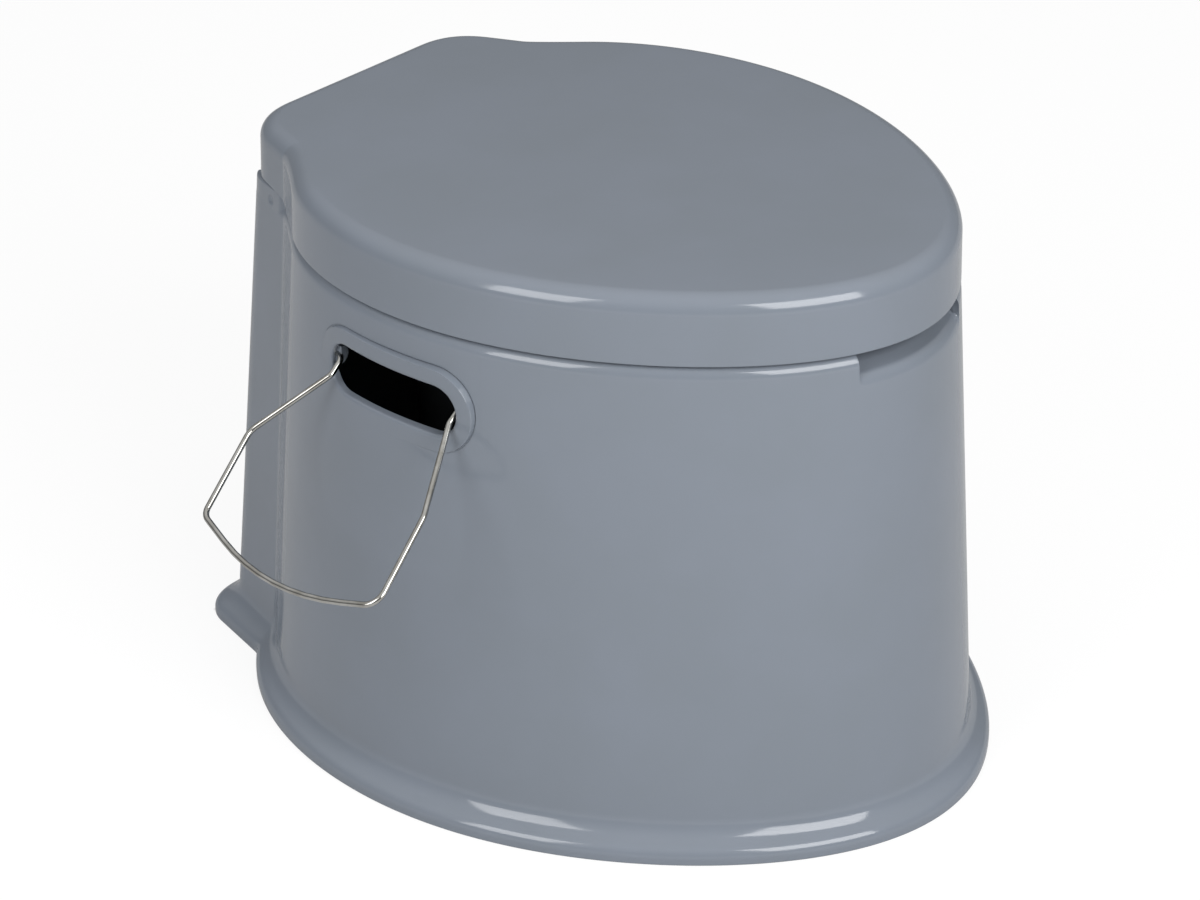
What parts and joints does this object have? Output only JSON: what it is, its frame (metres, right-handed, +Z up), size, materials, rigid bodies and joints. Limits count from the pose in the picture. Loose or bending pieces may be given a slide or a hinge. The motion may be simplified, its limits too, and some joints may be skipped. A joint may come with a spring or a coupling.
{
  "type": "portable toilet",
  "caption": "Portable camp toilet: oval moulded casing with a flared foot, hinged lid and seat, lift-out bucket, side hand slots and a swinging wire roll holder.",
  "frame": {"origin": "on the floor, on the midline, below the widest point of the oval casing", "axes": "+Z up, the rounded front faces -Y, the hinge is at +Y, the roll holder hangs on the -X side"},
  "size_m": [0.4131, 0.4209, 0.2923],
  "materials": {
    "casing_plastic": "moulded polypropylene, semi-gloss blue-grey",
    "bucket_plastic": "moulded polypropylene, dark grey, satin",
    "grip_plastic": "moulded polyethylene tube, satin",
    "wire_steel": "bright drawn wire",
    "pin_steel": "turned steel"
  },
  "bodies": {
    "casing": {"body_shell": "casing_plastic", "bucket": "bucket_plastic", "bucket_bail": "wire_steel", "bail_grip": "grip_plastic", "hinge_pin_left": "pin_steel", "hinge_pin_right": "pin_steel"},
    "seat": {"seat": "casing_plastic"},
    "lid": {"lid": "casing_plastic"},
    "roll_holder": {"roll_holder": "wire_steel"}
  },
  "joints": [
    {"name": "seat_hinge", "type": "hinge", "parent": "casing", "child": "seat", "pos_m": [0, 0.163, 0.243], "axis": [-1, 0, 0], "range_deg": [0, 35]},
    {"name": "lid_hinge", "type": "hinge", "parent": "seat", "child": "lid", "pos_m": [0, 0.163, 0.243], "axis": [-1, 0, 0], "range_deg": [0, 100]},
    {"name": "roll_holder_swing", "type": "hinge", "parent": "casing", "child": "roll_holder", "pos_m": [-0.14103, 0.0053, 0.222], "axis": [0, 1, 0], "range_deg": [0, 45]}
  ]
}
